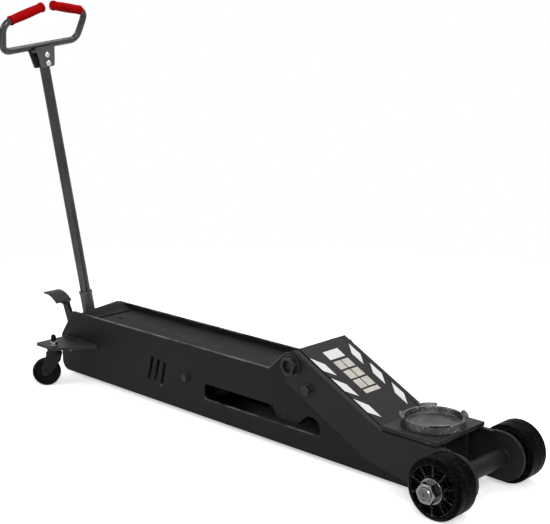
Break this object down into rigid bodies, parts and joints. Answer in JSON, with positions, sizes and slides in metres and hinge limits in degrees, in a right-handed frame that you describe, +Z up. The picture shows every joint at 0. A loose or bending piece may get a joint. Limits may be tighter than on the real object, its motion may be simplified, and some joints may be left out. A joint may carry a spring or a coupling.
{
  "type": "car jack",
  "caption": "Long low hydraulic trolley jack: rolling steel chassis, hinged lifting arm with a self-levelling turning saddle, pump handle and foot pedal, shown lowered.",
  "frame": {"origin": "on the floor, under the centre of the whole jack's box at rest; the jack's middle plane is at Y = +0.024 m because the handle leans to one side", "axes": "+X from the handle to the saddle and front wheels, +Y to the jack's left, +Z up"},
  "size_m": [1.6864, 0.5385, 1.1752],
  "materials": {
    "black_paint": "satin",
    "machined_steel": "machined",
    "zinc": "bright zinc plate",
    "cast_steel": "bare cast, worn bright edges",
    "grey_tube": "satin grey",
    "red_rubber": "matt",
    "castor_plastic": "matt",
    "wheel_iron": "black coated"
  },
  "bodies": {
    "frame": {"rail_left": "black_paint", "rail_right": "black_paint", "cheek_left": "black_paint", "cheek_right": "black_paint", "deck_cover": "black_paint", "rear_deck": "black_paint", "rear_brace": "black_paint", "front_brace": "black_paint", "cylinder_bulkhead": "black_paint", "side_bolts": "black_paint", "axle_tube": "black_paint", "front_axle": "machined_steel", "axle_nuts": "zinc", "castor_plate_left": "black_paint", "castor_plate_right": "black_paint", "castor_studs": "zinc", "main_pivot_shaft": "machined_steel", "main_pivot_nuts": "black_paint", "rod_anchor_bolts": "black_paint", "pump_block": "black_paint", "oil_tank": "black_paint", "ram_cylinder": "machined_steel", "ram_gland": "machined_steel", "handle_pin": "machined_steel"},
    "lift_arm": {"arm_plate_left": "black_paint", "arm_plate_right": "black_paint", "arm_cover": "black_paint", "arm_cross_tube": "black_paint", "saddle_pin": "machined_steel", "crank_pin": "machined_steel"},
    "crank_roller": {"crank_roller": "machined_steel"},
    "radius_rods": {"radius_rod_left": "black_paint", "radius_rod_right": "black_paint"},
    "saddle_carrier": {"saddle_bracket": "black_paint", "saddle_plate": "black_paint", "rod_pin": "machined_steel"},
    "saddle": {"saddle": "cast_steel"},
    "ram": {"crosshead": "black_paint", "piston": "machined_steel"},
    "handle_yoke": {"handle_socket": "black_paint", "pump_roller": "machined_steel"},
    "handle": {"pole": "grey_tube", "pole_plates": "black_paint", "pole_bolts": "zinc", "handlebar": "grey_tube", "grips": "red_rubber"},
    "hand_plunger": {"hand_plunger": "machined_steel"},
    "release_valve": {"release_valve": "machined_steel"},
    "foot_pedal": {"foot_pedal": "black_paint"},
    "foot_plunger": {"foot_plunger": "machined_steel"},
    "castor_fork_left": {"castor_fork_left": "black_paint"},
    "castor_fork_right": {"castor_fork_right": "black_paint"},
    "castor_wheel_left": {"castor_wheel_left": "castor_plastic"},
    "castor_wheel_right": {"castor_wheel_right": "castor_plastic"},
    "front_wheel_left": {"front_wheel_left": "wheel_iron"},
    "front_wheel_right": {"front_wheel_right": "wheel_iron"}
  },
  "joints": [
    {"name": "lift", "type": "hinge", "parent": "frame", "child": "lift_arm", "pos_m": [0.2562, 0.02396, 0.243], "axis": [0, -1, 0], "range_deg": [0, 62]},
    {"name": "roller_spin", "type": "hinge", "parent": "lift_arm", "child": "crank_roller", "pos_m": [0.20376, 0.02396, 0.11319], "axis": [0, -1, 0], "continuous": true},
    {"name": "radius_rod_swing", "type": "hinge", "parent": "frame", "child": "radius_rods", "pos_m": [0.3122, 0.02396, 0.19], "axis": [0, -1, 0], "range_deg": [0, 62]},
    {"name": "saddle_levelling", "type": "hinge", "parent": "lift_arm", "child": "saddle_carrier", "pos_m": [0.6182, 0.02396, 0.1], "axis": [0, -1, 0], "range_deg": [-62, 0]},
    {"name": "saddle_turn", "type": "hinge", "parent": "saddle_carrier", "child": "saddle", "pos_m": [0.6322, 0.02396, 0.152], "axis": [0, 0, 1], "continuous": true},
    {"name": "ram_stroke", "type": "slide", "parent": "frame", "child": "ram", "axis": [1, 0, 0], "range_m": [0, 0.146]},
    {"name": "pump_stroke", "type": "hinge", "parent": "frame", "child": "handle_yoke", "pos_m": [-0.7188, 0.02396, 0.095], "axis": [0, -1, 0], "range_deg": [0, 45]},
    {"name": "release_turn", "type": "hinge", "parent": "handle_yoke", "child": "handle", "pos_m": [-0.7188, 0.02396, 0.095], "axis": [-0.0623, -0.1253, 0.9902], "range_deg": [0, 120]},
    {"name": "hand_plunger_stroke", "type": "slide", "parent": "frame", "child": "hand_plunger", "axis": [1, 0, 0], "range_m": [0, 0.021]},
    {"name": "valve_turn", "type": "hinge", "parent": "frame", "child": "release_valve", "pos_m": [-0.6718, 0.05796, 0.13], "axis": [-1, 0, 0], "range_deg": [0, 120]},
    {"name": "pedal_stroke", "type": "hinge", "parent": "frame", "child": "foot_pedal", "pos_m": [-0.7188, 0.02396, 0.095], "axis": [0, -1, 0], "range_deg": [0, 25], "stiffness_Nm_per_rad": 8, "springref_deg": -20.05},
    {"name": "foot_plunger_stroke", "type": "slide", "parent": "frame", "child": "foot_plunger", "axis": [1, 0, 0], "range_m": [0, 0.0122]},
    {"name": "castor_swivel_left", "type": "hinge", "parent": "frame", "child": "castor_fork_left", "pos_m": [-0.6728, 0.21596, 0.1], "axis": [0, 0, 1], "continuous": true},
    {"name": "castor_spin_left", "type": "hinge", "parent": "castor_fork_left", "child": "castor_wheel_left", "pos_m": [-0.69108, 0.23301, 0.0435], "axis": [0.682, 0.7314, 0], "continuous": true},
    {"name": "castor_swivel_right", "type": "hinge", "parent": "frame", "child": "castor_fork_right", "pos_m": [-0.6728, -0.16804, 0.1], "axis": [0, 0, 1], "continuous": true},
    {"name": "castor_spin_right", "type": "hinge", "parent": "castor_fork_right", "child": "castor_wheel_right", "pos_m": [-0.69108, -0.18509, 0.0435], "axis": [-0.682, 0.7314, 0], "continuous": true},
    {"name": "front_wheel_spin_left", "type": "hinge", "parent": "frame", "child": "front_wheel_left", "pos_m": [0.7682, 0.17396, 0.075], "axis": [0, 1, 0], "continuous": true},
    {"name": "front_wheel_spin_right", "type": "hinge", "parent": "frame", "child": "front_wheel_right", "pos_m": [0.7682, -0.12604, 0.075], "axis": [0, 1, 0], "continuous": true}
  ],
  "couplings": [
    {"joint": "radius_rod_swing", "follows": "lift", "ratio": 1},
    {"joint": "saddle_levelling", "follows": "lift", "ratio": -1},
    {"joint": "ram_stroke", "follows": "lift", "m_per_rad": 0.1331},
    {"joint": "hand_plunger_stroke", "follows": "pump_stroke", "m_per_rad": 0.026},
    {"joint": "valve_turn", "follows": "release_turn", "ratio": 1},
    {"joint": "foot_plunger_stroke", "follows": "pedal_stroke", "m_per_rad": 0.026}
  ]
}
